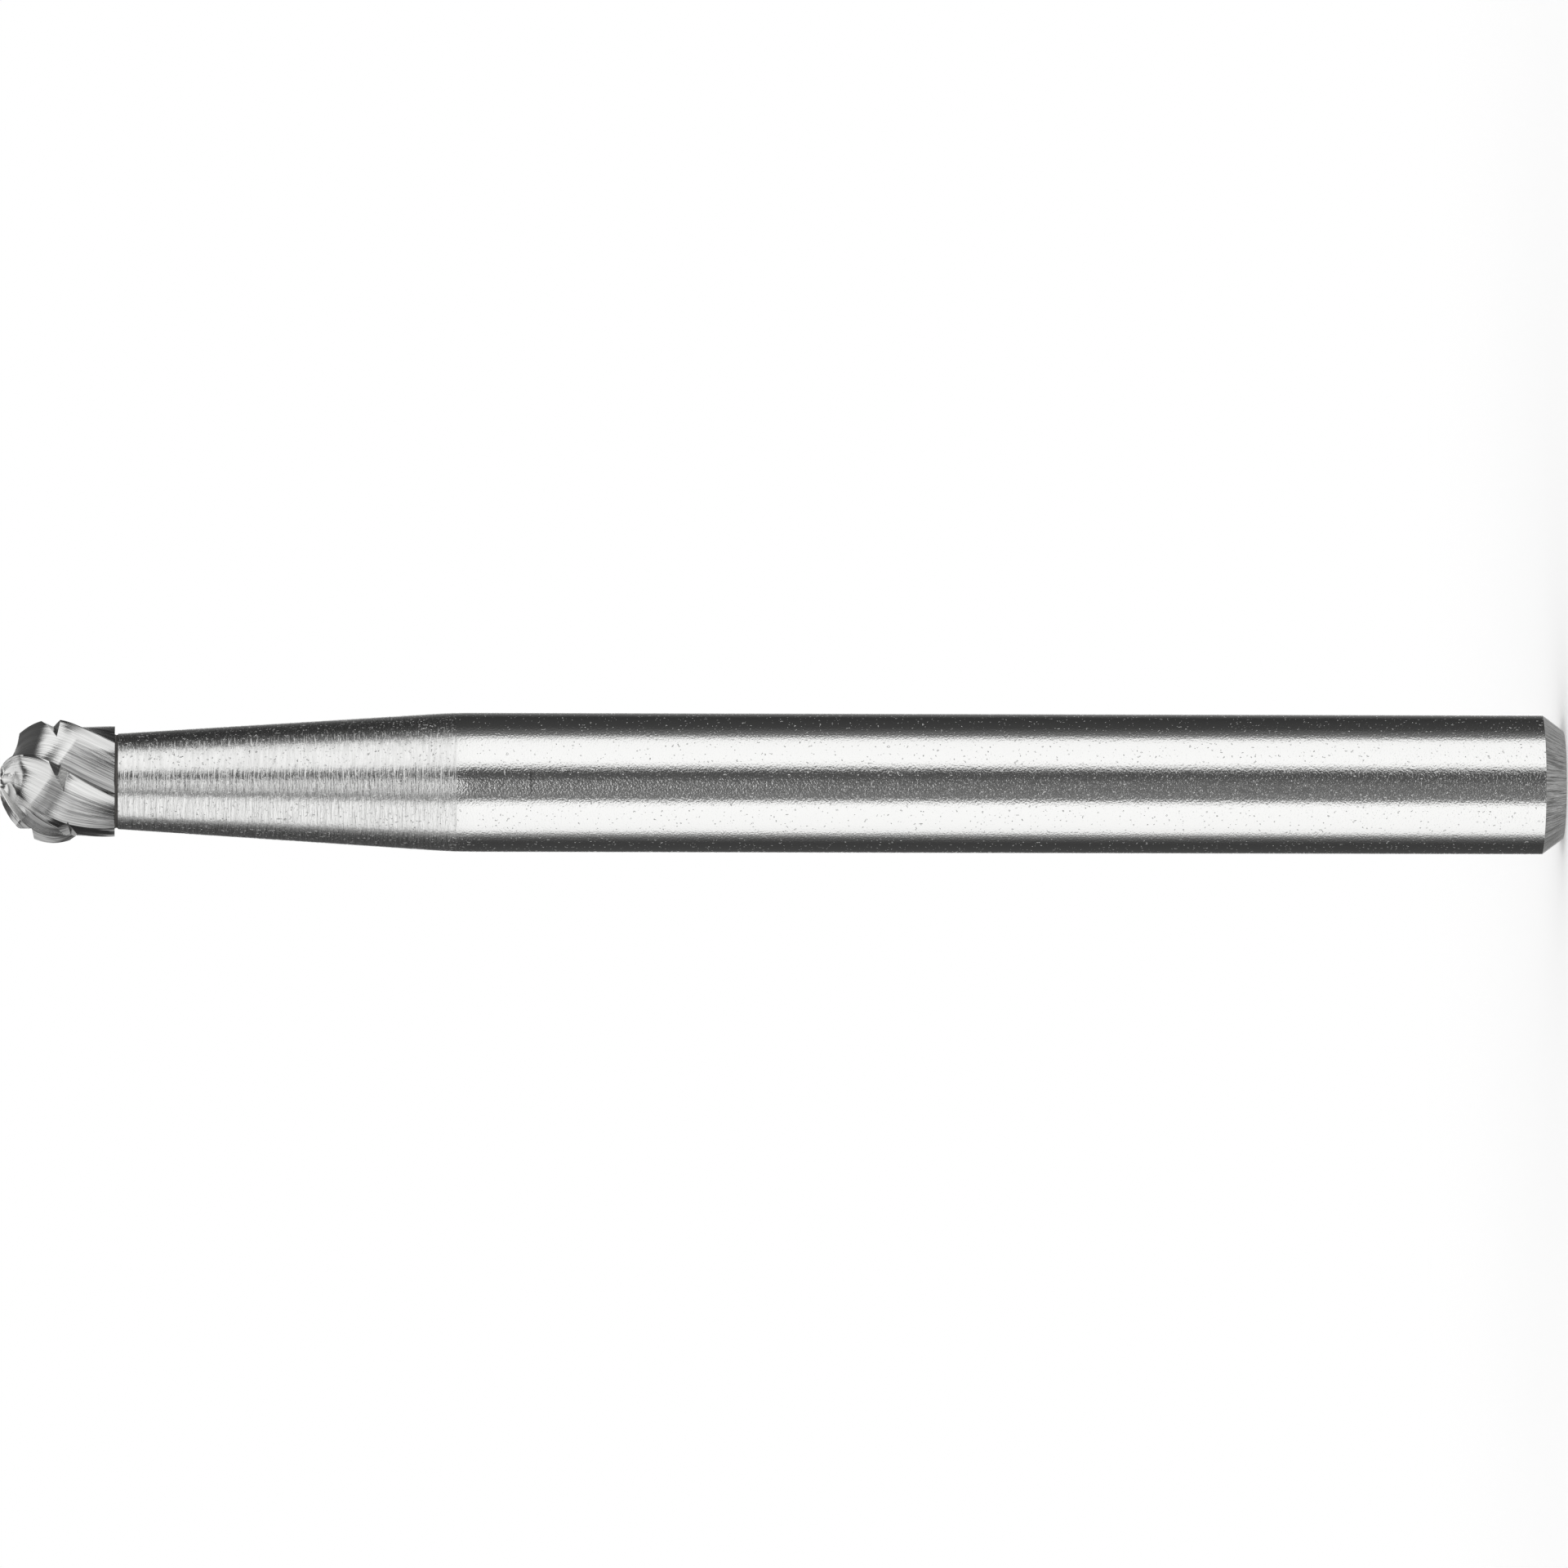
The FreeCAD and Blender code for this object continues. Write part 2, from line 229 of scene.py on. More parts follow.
def polished_steel_material():
    """Hardened tool steel, centreless ground and polished: a near mirror, a few fine marks."""
    material, tree, shader, _ = new_material("polished_tool_steel")
    steel = bpy.context.scene.burr_colours.steel
    set_metal(shader, steel, 0.05)
    place, v = object_place(tree)
    # Grain of 0.04 mm, and drawn lines that run along the shank.
    grain = add_node(tree, "ShaderNodeTexNoise", {"Vector": place, "Scale": 25 / MM, "Detail": 2.0})
    drawn = add_node(tree, "ShaderNodeMapping", {"Vector": place,
                                                 "Scale": (12 / MM, 12 / MM, 0.4 / MM)})
    lines = add_node(tree, "ShaderNodeTexNoise", {"Vector": drawn.outputs[0], "Scale": 1.0,
                                                 "Detail": 2.0})
    # Pits of 0.03 mm that stand a few tenths of a millimetre apart.
    pits = add_node(tree, "ShaderNodeTexNoise", {"Vector": place, "Scale": 20 / MM, "Detail": 0.0})
    work_out(tree, v, (
        ("deep", "RAMP", pits.outputs[0], 0.77, 0.85),
        # One dark scratch runs a little way round the front.
        ("off line", "-", "z", SCRATCH_HEIGHT),
        ("distance", "ABSOLUTE", "off line"),
        ("cut", "RAMP", "distance", SCRATCH_REACH, 0.0),
        ("sideways", "ABSOLUTE", "x"),
        ("ends", "RAMP", "sideways", SCRATCH_END, SCRATCH_FADE),
        ("on front", "LESS_THAN", "y", 0.0),
        ("cut part", "*", "cut", "ends"),
        ("scratch", "*", "cut part", "on front"),
    ))
    finish_metal(tree, shader, ((grain.outputs[0], 0.0038), (lines.outputs[0], 0.0006),
                                (v["deep"], -0.01)), v["scratch"], (steel, linear("#9C9C9B")))
    return material


def ground_steel_material():
    """Tool steel ground round the neck: satin, grainy, with fine marks that run round it."""
    material, tree, shader, _ = new_material("ground_tool_steel")
    steel = bpy.context.scene.burr_colours.steel
    set_metal(shader, steel, 0.14)
    place, v = object_place(tree)
    # The wheel leaves marks about 0.06 mm apart that run a part of the way round, and its grit
    # leaves grains of the same size and, further apart, specks.
    round_it = add_node(tree, "ShaderNodeMapping", {"Vector": place,
                                                    "Scale": (1.5 / MM, 1.5 / MM, 16 / MM)})
    marks = add_node(tree, "ShaderNodeTexNoise", {"Vector": round_it.outputs[0], "Scale": 1.0,
                                                 "Detail": 3.0, "Roughness": 0.6})
    grains = add_node(tree, "ShaderNodeTexNoise", {"Vector": place, "Scale": 16 / MM,
                                                  "Detail": 2.0, "Roughness": 0.6})
    work_out(tree, v, (
        ("specks", "RAMP", grains.outputs[0], 0.63, 0.78),
        ("pale", "RAMP", marks.outputs[0], 0.3, 0.6),
    ))
    finish_metal(tree, shader, ((marks.outputs[0], 0.012), (grains.outputs[0], 0.003),
                                (v["specks"], -0.01)), v["pale"], (linear("#BCBCBB"), steel))
    return material


# How far apart the marks of the chamfer and end face are, and how long.
FACED_SPACING, FACED_LENGTH = 0.04 * MM, 0.5 * MM


def faced_steel_material():
    """Tool steel with a ground chamfer and end face: dull, with fine marks that run across."""
    material, tree, shader, _ = new_material("faced_tool_steel")
    steel = bpy.context.scene.burr_colours.steel
    set_metal(shader, steel, 0.3)
    _, v = object_place(tree)
    # The marks run up the chamfer and fan over the end face.
    radius = bpy.context.scene.burr_sizes.shank_radius
    work_out(tree, v, (
        ("turn", "ARCTAN2", "y", "x"),
        ("across marks", "*", "turn", radius / FACED_SPACING),
        ("along marks", "*", "z", 1 / FACED_LENGTH),
    ))
    across = add_node(tree, "ShaderNodeCombineXYZ", [v["across marks"], v["along marks"], 0.0])
    marks = add_node(tree, "ShaderNodeTexNoise", {"Vector": across.outputs[0], "Scale": 1.0,
                                                 "Detail": 3.0, "Roughness": 0.65})
    work_out(tree, v, (("pale", "RAMP", marks.outputs[0], 0.35, 0.6),))
    finish_metal(tree, shader, ((marks.outputs[0], 0.025),), v["pale"],
                 (linear("#7E7E7D"), steel))
    return material


# How far apart the marks across a flute are, and how long. The real ones are about half as far
# apart, which is too fine to show.
CARBIDE_SPACING, CARBIDE_LENGTH = 0.0625 * MM, 2.5 * MM
# Where the deep marks of the head's cone end, over its rear face, and how steeply that border
# crosses the head.
CONE_MARKS_END, CONE_MARKS_FADE, CONE_MARKS_SLOPE = 1.46 * MM, 0.06 * MM, 0.69
# The marks fade out between these two radii, because they meet on the axis.
MARKS_INNER, MARKS_OUTER = 0.3 * MM, 0.8 * MM
# Half the width in which the flute's marks set in, in radians, and the share of their depth that
# the marks have everywhere else.
FLUTE_FADE, SHALLOW = 0.02, 0.42
# How much of the colour carbide dust takes in the marks, and as a film over them.
DUST_LINES, DUST_FILM = 0.75, 0.2


def carbide_material():
    """Sintered tungsten carbide cut with a diamond wheel: bright facets, fine parallel marks."""
    sizes = bpy.context.scene.burr_sizes
    material, tree, shader, _ = new_material("ground_tungsten_carbide")
    carbide = bpy.context.scene.burr_colours.carbide
    set_metal(shader, carbide, 0.1)
    _, v = object_place(tree)
    pitch = math.tau / sizes.tooth_count
    relief_end = sizes.relief_angle
    work_out(tree, v, (
        ("turn", "ARCTAN2", "y", "x"),
        ("over rear", "-", "z", HEAD_LOW.z),
        ("turns", "/", "over rear", sizes.tooth_lead),
        ("helix", "*", "turns", math.tau),
        ("from helix", "-", "turn", "helix"),
        ("from tooth", "-", sizes.first_tooth, "from helix"),
        ("shifted", "FLOORED_MODULO", "from tooth", pitch),
        ("across marks", "*", "from helix", sizes.ball_radius / CARBIDE_SPACING),
        ("along marks", "*", "z", 1 / CARBIDE_LENGTH),
    ))
    lay = add_node(tree, "ShaderNodeCombineXYZ", [v["across marks"], v["along marks"], 0.0])
    marks = add_node(tree, "ShaderNodeTexNoise", {"Vector": lay.outputs[0], "Scale": 1.0,
                                                 "Detail": 3.0, "Roughness": 0.7})
    cone_end = HEAD_LOW.z + CONE_MARKS_END
    v["marks"] = marks.outputs[0]
    work_out(tree, v, (
        ("flute", "RAMP", "shifted", relief_end - FLUTE_FADE, relief_end + FLUTE_FADE),
        # The wheel's pass along the cone leaves deeper marks than the one round the ball, and ends
        # higher on one side of the head than on the other.
        ("slope", "*", "x", CONE_MARKS_SLOPE), ("sloped", "+", "z", "slope"),
        ("cone", "RAMP", "sloped", cone_end, cone_end - CONE_MARKS_FADE),
        ("xx", "*", "x", "x"), ("yy", "*", "y", "y"),
        ("square", "+", "xx", "yy"), ("radius", "SQRT", "square"),
        ("off axis", "RAMP", "radius", MARKS_INNER, MARKS_OUTER),
        ("deep part", "*", "flute", "cone"),
        ("deep more", "*", "deep part", 1 - SHALLOW),
        ("full depth", "+", "deep more", SHALLOW),
        ("depth", "*", "full depth", "off axis"),
        ("height", "*", "marks", "depth"),
        # Carbide dust stays in the deeper marks and greys them.
        ("dusty", "RAMP", "marks", 0.62, 0.4),
        ("dust", "*", "dusty", "depth"),
        ("dust lines", "*", "dust", DUST_LINES),
        ("dust film", "*", "deep part", DUST_FILM),
        ("dust share", "+", "dust lines", "dust film"),
    ))
    finish_metal(tree, shader, ((v["height"], 0.014),), v["dust share"],
                 (carbide, linear("#7C7C7C")))
    return material


def braze_material():
    """Brazing alloy, painted nearly black as the shade in the gap under the head's step: matt and a
    little uneven.
    """
    material, tree, shader, _ = new_material("brazing_alloy_painted_shade")
    set_metal(shader, bpy.context.scene.burr_colours.braze, 0.6)
    place, _ = object_place(tree)
    scale = add_node(tree, "ShaderNodeTexNoise", {"Vector": place, "Scale": 20 / MM, "Detail": 2.0})
    finish_metal(tree, shader, ((scale.outputs[0], 0.01),))
    return material


def lathe(name, profile, materials):
    """Turn a profile of (radius, height, material) points round Z into a closed mesh."""
    verts, faces, slots, rings = [], [], [], []
    for radius, height, _ in profile:
        ring = []
        for side in range(LATHE_SIDES if radius > 0 else 1):
            turn = math.tau * side / LATHE_SIDES
            ring.append(len(verts))
            verts.append((radius * math.cos(turn), radius * math.sin(turn), height))
        rings.append(ring)
    for low, high, point in zip(rings, rings[1:], profile):
        for side in range(LATHE_SIDES):
            after = (side + 1) % LATHE_SIDES
            corners = [low[side % len(low)], low[after % len(low)],
                       high[after % len(high)], high[side % len(high)]]
            faces.append(list(dict.fromkeys(corners)))
            slots.append(point[2])
    mesh = bpy.data.meshes.new(name)
    mesh.from_pydata(verts, [], faces)
    for material in materials:
        mesh.materials.append(material)
    mesh.polygons.foreach_set("material_index", slots)
    mesh.shade_smooth()
    mesh.set_sharp_from_angle(angle=SHARP_ANGLE)
    mesh.update()
    return add_object(name, mesh)


class BURR_OT_shank(bpy.types.Operator):
    """Turn the steel shank with its chamfered end and tapered neck"""
    bl_idname = "burr.shank"
    bl_label = "Steel Shank"

    def execute(self, context):
        sizes = context.scene.burr_sizes
        radius, front = sizes.shank_radius, sizes.neck_radius
        top = SHANK_HIGH.z
        slope = math.atan((radius - front) / (top - sizes.shank_length))
        setback = sizes.neck_blend * math.tan(slope / 2)
        polished, ground, faced = 0, 1, 2
        profile = [(0.0, 0.0, faced), (radius - sizes.chamfer_height, 0.0, faced)]
        for share in (0.25, 0.5, 0.75):
            profile.append((radius - sizes.chamfer_height * (1 - share),
                            sizes.chamfer_length * share, faced))
        profile.append((radius, sizes.chamfer_length, polished))
        blend_start = sizes.shank_length - setback
        for step in range(BLEND_STEPS + 1):
            turn = slope * step / BLEND_STEPS
            finish = polished if 2 * step < BLEND_STEPS else ground
            profile.append((radius - sizes.neck_blend * (1 - math.cos(turn)),
                            blend_start + sizes.neck_blend * math.sin(turn), finish))
        profile.append((front, top, ground))
        profile.append((0.0, top, ground))
        piece = lathe("shank", profile, [polished_steel_material(), ground_steel_material(),
                                         faced_steel_material()])
        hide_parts("steel_shank")
        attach(piece, "root")
        return {"FINISHED"}


# The joint's outside has this many steps, and is hollow by this share of its radius.
BRAZE_STEPS, BRAZE_HOLLOW = 6, 0.015


class BURR_OT_braze(bpy.types.Operator):
    """Turn the thin brazed joint between the neck and the head"""
    bl_idname = "burr.braze"
    bl_label = "Brazed Joint"

    def execute(self, context):
        radius = BRAZE_HIGH.x
        low, high = BRAZE_LOW.z, BRAZE_HIGH.z
        profile = [(0.0, low, 0), (radius, low, 0)]
        for step in range(1, BRAZE_STEPS):
            share = step / BRAZE_STEPS
            hollow = BRAZE_HOLLOW * math.sin(math.pi * share)
            profile.append((radius * (1 - hollow), low + (high - low) * share, 0))
        profile += [(radius, high, 0), (0.0, high, 0)]
        piece = lathe("brazed_joint", profile, [braze_material()])
        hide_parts("braze_joint")
        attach(piece, "root")
        return {"FINISHED"}


# The head's surface is a grid for each tooth. Its columns cross the tooth from one cutting edge
# to the next, with these many steps on the land, relief, flute and rake. Its rows go up the head.
LAND_STEPS, RELIEF_STEPS, FLUTE_STEPS, RAKE_STEPS = 1, 6, 20, 4
TOOTH_COLUMNS = LAND_STEPS + RELIEF_STEPS + FLUTE_STEPS + RAKE_STEPS
HEAD_ROWS = 200
# Latitudes in degrees: the last at which a flute follows the ball, and the one up to which its
# cuts grow deeper. Then how far over the tip the flute runs out.
LAST_LATITUDE = 65.0
FULL_DEPTH_LATITUDE = 48.0
TIP_CLEARANCE = 0.06 * MM
# The chip breaker's cutter: the turns, in degrees, at which it starts and ends, the turn in which
# it sinks in and comes out, and its steps.
CHIP_FIRST, CHIP_LAST, CHIP_RUN = -135.0, 360.0, 45.0
CHIP_ROWS = 132
# How far the cutter's top stands over the ball, and its floor at both ends, as shares of the
# groove's depth.
CHIP_OVERRUN, CHIP_RUNOUT = 0.5, 0.1
# The groove's turns count from the front, which is this many degrees before +X.
CHIP_FRONT_TURN = 90.0
# A step's number is within this much of the whole number that it stands for. Points that are
# nearer to each other than the merge distance become one.
WHOLE = 0.1
MERGE_DISTANCE = 0.00002 * MM
# The head's inputs, and the sizes that they take.
HEAD_SIZES = {
    "Ball Radius": "ball_radius", "Back Taper": "back_taper", "Tip Flat": "tip_flat",
    "Teeth": "tooth_count", "Tooth Lead": "tooth_lead", "First Tooth": "first_tooth",
    "Land": "land_angle", "Relief": "relief_angle", "Relief Depth": "relief_depth",
    "Flute Depth": "flute_depth", "Rake": "rake_angle", "Rake Depth": "rake_depth",
    "Tip Core": "tip_core", "Chip Lead": "chip_lead", "Chip Height": "chip_height",
    "Chip Depth": "chip_depth", "Chip Front": "chip_front", "Chip Rear": "chip_rear",
    "Gash Depth": "gash_depth", "Gash Arc": "gash_arc", "Gash Core": "gash_core",
    "Gash Width": "gash_width", "Gash Middle": "gash_middle",
}


def head_tree():
    """Geometry nodes for the burr head: helical teeth on a ball, cut by a chip breaker."""
    tree = bpy.data.node_groups.new("burr_head", "GeometryNodeTree")
    for name in ("Rear Height", "Tip Height", *HEAD_SIZES):
        kind = "NodeSocketInt" if name == "Teeth" else "NodeSocketFloat"
        tree.interface.new_socket(name, in_out="INPUT", socket_type=kind)
    tree.interface.new_socket("Material", in_out="INPUT", socket_type="NodeSocketMaterial")
    tree.interface.new_socket("Geometry", in_out="OUTPUT", socket_type="NodeSocketGeometry")
    given = add_node(tree, "NodeGroupInput")
    v = {socket.name: socket for socket in given.outputs if socket.name}

    # The outline of ball and cone, from the ball's radius, the taper and the blunt tip.
    work_out(tree, v, (
        ("ball square", "*", "Ball Radius", "Ball Radius"),
        ("flat square", "*", "Tip Flat", "Tip Flat"),
        ("cap square", "-", "ball square", "flat square"), ("cap", "SQRT", "cap square"),
        ("ball centre", "-", "Tip Height", "cap"),
        ("flat latitude", "ARCTAN2", "cap", "Tip Flat"), ("taper cos", "COSINE", "Back Taper"),
        ("taper sin", "SINE", "Back Taper"), ("drop", "*", "Ball Radius", "taper sin"),
        ("tangent height", "-", "ball centre", "drop"),
        ("cone height", "-", "tangent height", "Rear Height"),
        ("cone length", "/", "cone height", "taper cos"),
        ("ball arc", "+", "Back Taper", "flat latitude"),
        ("ball length", "*", "ball arc", "Ball Radius"),
        ("rim length", "+", "cone length", "ball length"),
        ("outline length", "+", "rim length", "Tip Flat"), ("pitch", "/", math.tau, "Teeth"),
    ))

    grid = add_node(tree, "GeometryNodeMeshGrid", {"Size X": 1.0, "Size Y": 1.0,
                                                   "Vertices X": TOOTH_COLUMNS + 1,
                                                   "Vertices Y": HEAD_ROWS + 1})
    at = add_node(tree, "ShaderNodeSeparateXYZ",
                  [add_node(tree, "GeometryNodeInputPosition").outputs[0]])
    v["grid x"], v["grid y"] = at.outputs[0], at.outputs[1]

    # Rows: the first is the middle of the rear face, the others go up the outline to the tip.
    work_out(tree, v, (
        ("row share", "+", "grid y", 0.5), ("row float", "*", "row share", float(HEAD_ROWS)),
        ("row", "ROUND", "row float"), ("on outline", "MINIMUM", "row", 1.0),
        ("row up", "-", "row", 1.0), ("row over", "MAXIMUM", "row up", 0.0),
        ("outline share", "/", "row over", float(HEAD_ROWS - 1)),
        ("along", "*", "outline share", "outline length"),
        ("past rim", "-", "along", "rim length"), ("on flat", "MAXIMUM", "past rim", 0.0),
        ("up to rim", "-", "along", "on flat"), ("past cone", "-", "up to rim", "cone length"),
        ("on ball", "MAXIMUM", "past cone", 0.0), ("before ball", "-", "on ball", "past cone"),
        ("ball turn", "/", "on ball", "Ball Radius"),
        ("latitude", "-", "ball turn", "Back Taper"), ("latitude cos", "COSINE", "latitude"),
        ("latitude sin", "SINE", "latitude"), ("ball r", "*", "Ball Radius", "latitude cos"),
        ("ball z", "*", "Ball Radius", "latitude sin"),
        ("cone r", "*", "before ball", "taper sin"), ("cone z", "*", "before ball", "taper cos"),
        ("round r", "-", "ball r", "cone r"), ("blank r", "-", "round r", "on flat"),
        ("height over centre", "-", "ball z", "cone z"),
        ("height", "+", "ball centre", "height over centre"),
    ))

    # Over the last latitude the flute leaves the ball and runs out over the tip.
    work_out(tree, v, (
        ("held latitude", "MINIMUM", "latitude", math.radians(FULL_DEPTH_LATITUDE)),
        ("held cos", "COSINE", "held latitude"), ("flute here", "/", "Flute Depth", "held cos"),
        ("relief here", "/", "Relief Depth", "held cos"),
        ("rake here", "/", "Rake Depth", "held cos"),
        ("flute at tip", "/", "Flute Depth", math.cos(math.radians(FULL_DEPTH_LATITUDE))),
    ))
    last_cos = math.cos(math.radians(LAST_LATITUDE))
    last_sin = math.sin(math.radians(LAST_LATITUDE))
    work_out(tree, v, (
        ("last r", "*", "Ball Radius", last_cos),
        ("last over centre", "*", "Ball Radius", last_sin),
        ("past last", "-", "height over centre", "last over centre"),
        ("run", "MAXIMUM", "past last", 0.0), ("run top", "+", "cap", TIP_CLEARANCE),
        ("run length", "-", "run top", "last over centre"),
        ("run share", "/", "run", "run length"),
        ("run share squared", "*", "run share", "run share"),
        ("run slope", "*", "run length", -last_sin / last_cos),
        ("run end r", "+", "Tip Core", "flute at tip"), ("run fall", "-", "run end r", "last r"),
        ("run bend", "-", "run fall", "run slope"),
        ("run straight part", "*", "run slope", "run share"),
        ("run bent part", "*", "run bend", "run share squared"),
        ("run change", "+", "run straight part", "run bent part"),
        ("run r", "+", "last r", "run change"), ("is run", "GREATER_THAN", "past last", 0.0),
        ("run or round", "-", "run r", "round r"), ("run part", "*", "run or round", "is run"),
        ("section r", "+", "round r", "run part"),
    ))

    # Columns: how far across each of the tooth's four faces a column is, from 0 to 1.
    work_out(tree, v, (
        ("column share", "+", "grid x", 0.5),
        ("column", "*", "column share", float(TOOTH_COLUMNS)),
    ))
    start = 0
    for face, steps in (("land", LAND_STEPS), ("relief", RELIEF_STEPS),
                        ("flute", FLUTE_STEPS), ("rake", RAKE_STEPS)):
        end = start + steps
        work_out(tree, v, ((face + " share", "RAMP", "column", float(start), float(end)),))
        start = end
    work_out(tree, v, (
        ("relief width", "-", "Relief", "Land"), ("rake start", "-", "pitch", "Rake"),
        ("flute width", "-", "rake start", "Relief"), ("land part", "*", "land share", "Land"),
        ("relief part", "*", "relief share", "relief width"),
        ("flute part", "*", "flute share", "flute width"),
        ("rake part", "*", "rake share", "Rake"),
        ("land and relief", "+", "land part", "relief part"),
        ("flute and rake", "+", "flute part", "rake part"),
        ("across", "+", "land and relief", "flute and rake"), ("mid pitch", "/", "pitch", 2.0),
    ))

    # Three points of the flute's round floor, in the plane of a section, and its circle.
    work_out(tree, v, (
        ("foot r", "-", "section r", "relief here"), ("floor r", "-", "section r", "flute here"),
        ("rake r", "-", "section r", "rake here"),
    ))
    for point, radius, turn in (("a", "foot r", "Relief"), ("b", "floor r", "mid pitch"),
                                ("c", "rake r", "rake start")):
        add_polar(tree, v, point, radius, turn)
        work_out(tree, v, ((point + " square", "*", radius, radius),))
    work_out(tree, v, (
        ("ab x", "-", "b x", "a x"), ("ab y", "-", "b y", "a y"),
        ("ac x", "-", "c x", "a x"), ("ac y", "-", "c y", "a y"),
        ("ab square", "-", "b square", "a square"), ("ac square", "-", "c square", "a square"),
        ("m1", "*", "ab x", "ac y"), ("m2", "*", "ab y", "ac x"),
        ("m3", "-", "m1", "m2"), ("twice area", "*", "m3", 2.0),
        ("n1", "*", "ab square", "ac y"), ("n2", "*", "ac square", "ab y"),
        ("n3", "-", "n1", "n2"), ("circle x", "/", "n3", "twice area"),
        ("o1", "*", "ac square", "ab x"), ("o2", "*", "ab square", "ac x"),
        ("o3", "-", "o1", "o2"), ("circle y", "/", "o3", "twice area"),
        ("to a x", "-", "a x", "circle x"), ("to a y", "-", "a y", "circle y"),
        ("q1", "*", "to a x", "to a x"), ("q2", "*", "to a y", "to a y"),
        ("circle square", "+", "q1", "q2"),
        ("across cos", "COSINE", "across"), ("across sin", "SINE", "across"),
        ("p1", "*", "circle x", "across cos"), ("p2", "*", "circle y", "across sin"),
        ("middle", "+", "p1", "p2"),
        ("s1", "*", "circle x", "circle x"), ("s2", "*", "circle y", "circle y"),
        ("s3", "+", "s1", "s2"), ("s4", "-", "s3", "circle square"),
        ("s5", "*", "middle", "middle"), ("s6", "-", "s5", "s4"),
        ("s7", "MAXIMUM", "s6", 0.0), ("half chord", "SQRT", "s7"),
        ("near side", "-", "middle", "half chord"),
    ))

    # The radius across the tooth: straight relief and rake, round flute between them.
    work_out(tree, v, (
        ("relief fall", "*", "relief share", "relief here"),
        ("relief r", "-", "section r", "relief fall"),
        ("rake rise", "*", "rake share", "rake here"),
        ("rake face r", "+", "rake r", "rake rise"),
        ("in flute", "GREATER_THAN", "flute share", 0.0),
        ("in rake", "GREATER_THAN", "rake share", 0.0),
        ("near less relief", "-", "near side", "relief r"),
        ("flute change", "*", "near less relief", "in flute"),
        ("relief or flute r", "+", "relief r", "flute change"),
        ("rake less that", "-", "rake face r", "relief or flute r"),
        ("rake change", "*", "rake less that", "in rake"),
        ("cut r", "+", "relief or flute r", "rake change"),
        ("least r", "MINIMUM", "cut r", "blank r"), ("safe r", "MAXIMUM", "least r", 0.0),
        ("radius", "*", "safe r", "on outline"), ("over rear", "-", "height", "Rear Height"),
        ("turns", "/", "over rear", "Tooth Lead"), ("helix", "*", "turns", math.tau),
        ("lean", "-", "helix", "across"), ("turn", "+", "First Tooth", "lean"),
    ))
    add_polar(tree, v, "tooth", "radius", "turn")
    place = add_node(tree, "ShaderNodeCombineXYZ", [v["tooth x"], v["tooth y"], v["height"]])
    tooth = add_node(tree, "GeometryNodeSetPosition", {"Geometry": grid.outputs["Mesh"],
                                                       "Position": place.outputs[0]})

    points = add_node(tree, "GeometryNodeMeshLine", {"Count": v["Teeth"],
                                                     "Offset": (0.0, 0.0, 0.0)})
    v["index"] = add_node(tree, "GeometryNodeInputIndex").outputs[0]
    work_out(tree, v, (("tooth turn", "*", "index", "pitch"),))
    spin = add_node(tree, "ShaderNodeCombineXYZ", [None, None, v["tooth turn"]])
    turned = add_node(tree, "FunctionNodeEulerToRotation", [spin.outputs[0]])
    teeth = add_node(tree, "GeometryNodeInstanceOnPoints", {"Points": points.outputs[0],
                                                            "Instance": tooth.outputs[0],
                                                            "Rotation": turned.outputs[0]})
    solid = add_node(tree, "GeometryNodeRealizeInstances", [teeth.outputs[0]])

    # Every other tooth ends in a gash, a hollow turned round the axis over part of the way.
    now = add_node(tree, "ShaderNodeSeparateXYZ",
                   [add_node(tree, "GeometryNodeInputPosition").outputs[0]])
    v["now x"], v["now y"], v["now z"] = now.outputs
    work_out(tree, v, (
        ("now square x", "*", "now x", "now x"), ("now square y", "*", "now y", "now y"),
        ("now square", "+", "now square x", "now square y"), ("now r", "SQRT", "now square"),
        ("now turn", "ARCTAN2", "now y", "now x"), ("half width", "/", "Gash Width", 2.0),
        ("from start a", "-", "now turn", "Gash Middle"),
        ("from start", "+", "from start a", "half width"), ("two pitches", "*", "pitch", 2.0),
        ("in gap", "FLOORED_MODULO", "from start", "two pitches"),
        ("in gash", "LESS_THAN", "in gap", "Gash Width"),
        ("arc square", "*", "Gash Arc", "Gash Arc"), ("arc over", "-", "Gash Arc", "Gash Depth"),
        ("arc over square", "*", "arc over", "arc over"),
        ("arc reach square", "-", "arc square", "arc over square"),
        ("arc reach", "SQRT", "arc reach square"),
        ("arc middle r", "+", "Gash Core", "arc reach"),
        ("arc middle z", "+", "Tip Height", "arc over"),
        ("arc drop", "-", "arc middle z", "now z"),
        ("arc drop square", "*", "arc drop", "arc drop"),
        ("arc left", "-", "arc square", "arc drop square"),
        ("has arc", "GREATER_THAN", "arc left", 0.0),
        ("arc left held", "MAXIMUM", "arc left", 0.0), ("arc half", "SQRT", "arc left held"),
        ("gash r", "-", "arc middle r", "arc half"), ("gash least", "MINIMUM", "gash r", "now r"),
        ("gash change", "-", "gash least", "now r"), ("gash mask", "*", "in gash", "has arc"),
        ("gash moved", "*", "gash change", "gash mask"), ("gashed r", "+", "now r", "gash moved"),
    ))
    add_polar(tree, v, "gashed", "gashed r", "now turn")
    gash_place = add_node(tree, "ShaderNodeCombineXYZ", [v["gashed x"], v["gashed y"], v["now z"]])
    gashed = add_node(tree, "GeometryNodeSetPosition", {"Geometry": solid.outputs[0],
                                                        "Position": gash_place.outputs[0]})
    closed = add_node(tree, "GeometryNodeMergeByDistance", {"Geometry": gashed.outputs[0],
                                                            "Distance": MERGE_DISTANCE})
    outward = add_node(tree, "GeometryNodeFlipFaces", [closed.outputs[0]])

